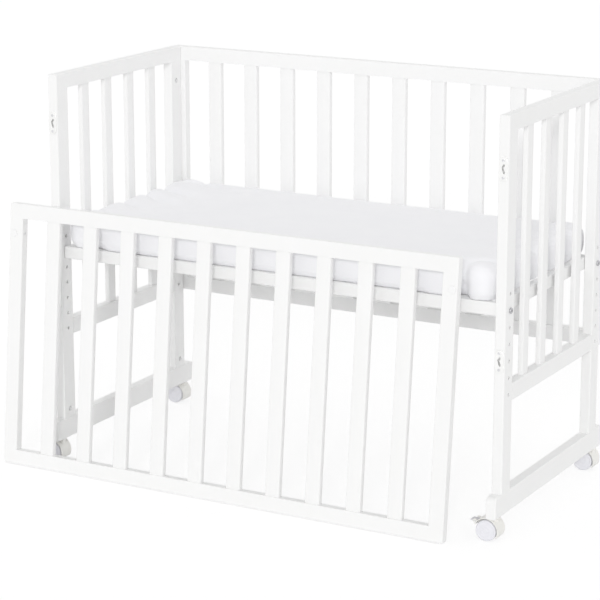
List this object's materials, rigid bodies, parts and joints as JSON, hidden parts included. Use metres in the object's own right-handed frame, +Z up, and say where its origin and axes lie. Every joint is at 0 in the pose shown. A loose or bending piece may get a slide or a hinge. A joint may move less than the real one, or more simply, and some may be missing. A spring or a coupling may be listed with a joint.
{
  "type": "bedside sleeper crib",
  "caption": "Slatted wooden bedside crib on sledge feet with twin-wheel casters, height-adjustable base, mattress and a detached slatted front panel leaning on one leg.",
  "frame": {"origin": "centre of the footprint, leaning panel included, at floor level", "axes": "+X along the crib to the right seen from its open front, +Y from the open front to the slatted back, +Z up"},
  "size_m": [1.051, 0.5548, 0.775],
  "materials": {
    "white_lacquer": "white satin lacquer",
    "cotton_sheet": "woven cotton",
    "beech": "unfinished",
    "zinc_plate": "zinc plated",
    "bright_steel": "zinc plated",
    "black_bolt": "black oxide",
    "white_cap": "moulded",
    "caster_plastic": "moulded",
    "lever_plastic": "moulded"
  },
  "bodies": {
    "frame": {"left_front_leg": "white_lacquer", "left_rear_leg": "white_lacquer", "left_top_rail": "white_lacquer", "left_bottom_rail": "white_lacquer", "left_end_slats": "white_lacquer", "left_foot": "white_lacquer", "right_front_leg": "white_lacquer", "right_rear_leg": "white_lacquer", "right_top_rail": "white_lacquer", "right_bottom_rail": "white_lacquer", "right_end_slats": "white_lacquer", "right_foot": "white_lacquer", "back_panel_top_rail": "white_lacquer", "back_panel_bottom_rail": "white_lacquer", "back_panel_left_stile": "white_lacquer", "back_panel_right_stile": "white_lacquer", "back_panel_slats": "white_lacquer", "base_front_rail": "white_lacquer", "base_back_rail": "white_lacquer", "base_left_cross_rail": "white_lacquer", "base_right_cross_rail": "white_lacquer", "base_slats": "white_lacquer", "hook_plates": "zinc_plate", "plate_screws": "bright_steel", "base_bolts": "black_bolt", "foot_bolts": "bright_steel", "barrel_nuts": "bright_steel", "frame_dowels": "beech", "back_panel_bolts": "black_bolt", "caster_stems": "bright_steel"},
    "mattress": {"mattress": "cotton_sheet"},
    "front_panel": {"front_panel_top_rail": "white_lacquer", "front_panel_bottom_rail": "white_lacquer", "front_panel_left_stile": "white_lacquer", "front_panel_right_stile": "white_lacquer", "front_panel_slats": "white_lacquer", "front_panel_dowels": "beech", "panel_hook_pins": "bright_steel", "panel_caps": "white_cap", "panel_lock_screws": "bright_steel"},
    "left_front_caster": {"left_front_caster_hood": "caster_plastic", "left_front_caster_axle": "bright_steel", "left_front_brake_pin": "bright_steel"},
    "left_front_wheel_front": {"left_front_wheel_front": "caster_plastic"},
    "left_front_wheel_rear": {"left_front_wheel_rear": "caster_plastic"},
    "left_front_brake_lever": {"left_front_brake_lever": "lever_plastic"},
    "left_rear_caster": {"left_rear_caster_hood": "caster_plastic", "left_rear_caster_axle": "bright_steel"},
    "left_rear_wheel_front": {"left_rear_wheel_front": "caster_plastic"},
    "left_rear_wheel_rear": {"left_rear_wheel_rear": "caster_plastic"},
    "right_front_caster": {"right_front_caster_hood": "caster_plastic", "right_front_caster_axle": "bright_steel", "right_front_brake_pin": "bright_steel"},
    "right_front_wheel_front": {"right_front_wheel_front": "caster_plastic"},
    "right_front_wheel_rear": {"right_front_wheel_rear": "caster_plastic"},
    "right_front_brake_lever": {"right_front_brake_lever": "lever_plastic"},
    "right_rear_caster": {"right_rear_caster_hood": "caster_plastic", "right_rear_caster_axle": "bright_steel"},
    "right_rear_wheel_front": {"right_rear_wheel_front": "caster_plastic"},
    "right_rear_wheel_rear": {"right_rear_wheel_rear": "caster_plastic"}
  },
  "joints": [
    {"name": "mattress_lift", "type": "slide", "parent": "frame", "child": "mattress", "axis": [0, 0, 1], "range_m": [0, 0.45]},
    {"name": "front_panel_away", "type": "slide", "parent": "frame", "child": "front_panel", "axis": [0, -1, 0], "range_m": [0, 0.3]},
    {"name": "left_front_caster_swivel", "type": "hinge", "parent": "frame", "child": "left_front_caster", "pos_m": [-0.4325, -0.20647, 0.04], "axis": [0, 0, 1], "continuous": true},
    {"name": "left_front_wheel_front_roll", "type": "hinge", "parent": "left_front_caster", "child": "left_front_wheel_front", "pos_m": [-0.4465, -0.20647, 0.02], "axis": [0, 1, 0], "continuous": true},
    {"name": "left_front_wheel_rear_roll", "type": "hinge", "parent": "left_front_caster", "child": "left_front_wheel_rear", "pos_m": [-0.4465, -0.20647, 0.02], "axis": [0, 1, 0], "continuous": true},
    {"name": "left_front_brake", "type": "hinge", "parent": "left_front_caster", "child": "left_front_brake_lever", "pos_m": [-0.47006, -0.20647, 0.0336], "axis": [0, -1, 0], "range_deg": [0, 18]},
    {"name": "left_rear_caster_swivel", "type": "hinge", "parent": "frame", "child": "left_rear_caster", "pos_m": [-0.4325, 0.25053, 0.04], "axis": [0, 0, 1], "continuous": true},
    {"name": "left_rear_wheel_front_roll", "type": "hinge", "parent": "left_rear_caster", "child": "left_rear_wheel_front", "pos_m": [-0.4465, 0.25053, 0.02], "axis": [0, 1, 0], "continuous": true},
    {"name": "left_rear_wheel_rear_roll", "type": "hinge", "parent": "left_rear_caster", "child": "left_rear_wheel_rear", "pos_m": [-0.4465, 0.25053, 0.02], "axis": [0, 1, 0], "continuous": true},
    {"name": "right_front_caster_swivel", "type": "hinge", "parent": "frame", "child": "right_front_caster", "pos_m": [0.5125, -0.20647, 0.04], "axis": [0, 0, 1], "continuous": true},
    {"name": "right_front_wheel_front_roll", "type": "hinge", "parent": "right_front_caster", "child": "right_front_wheel_front", "pos_m": [0.4985, -0.20647, 0.02], "axis": [0, 1, 0], "continuous": true},
    {"name": "right_front_wheel_rear_roll", "type": "hinge", "parent": "right_front_caster", "child": "right_front_wheel_rear", "pos_m": [0.4985, -0.20647, 0.02], "axis": [0, 1, 0], "continuous": true},
    {"name": "right_front_brake", "type": "hinge", "parent": "right_front_caster", "child": "right_front_brake_lever", "pos_m": [0.47494, -0.20647, 0.0336], "axis": [0, -1, 0], "range_deg": [0, 18]},
    {"name": "right_rear_caster_swivel", "type": "hinge", "parent": "frame", "child": "right_rear_caster", "pos_m": [0.5125, 0.25053, 0.04], "axis": [0, 0, 1], "continuous": true},
    {"name": "right_rear_wheel_front_roll", "type": "hinge", "parent": "right_rear_caster", "child": "right_rear_wheel_front", "pos_m": [0.4985, 0.25053, 0.02], "axis": [0, 1, 0], "continuous": true},
    {"name": "right_rear_wheel_rear_roll", "type": "hinge", "parent": "right_rear_caster", "child": "right_rear_wheel_rear", "pos_m": [0.4985, 0.25053, 0.02], "axis": [0, 1, 0], "continuous": true}
  ]
}
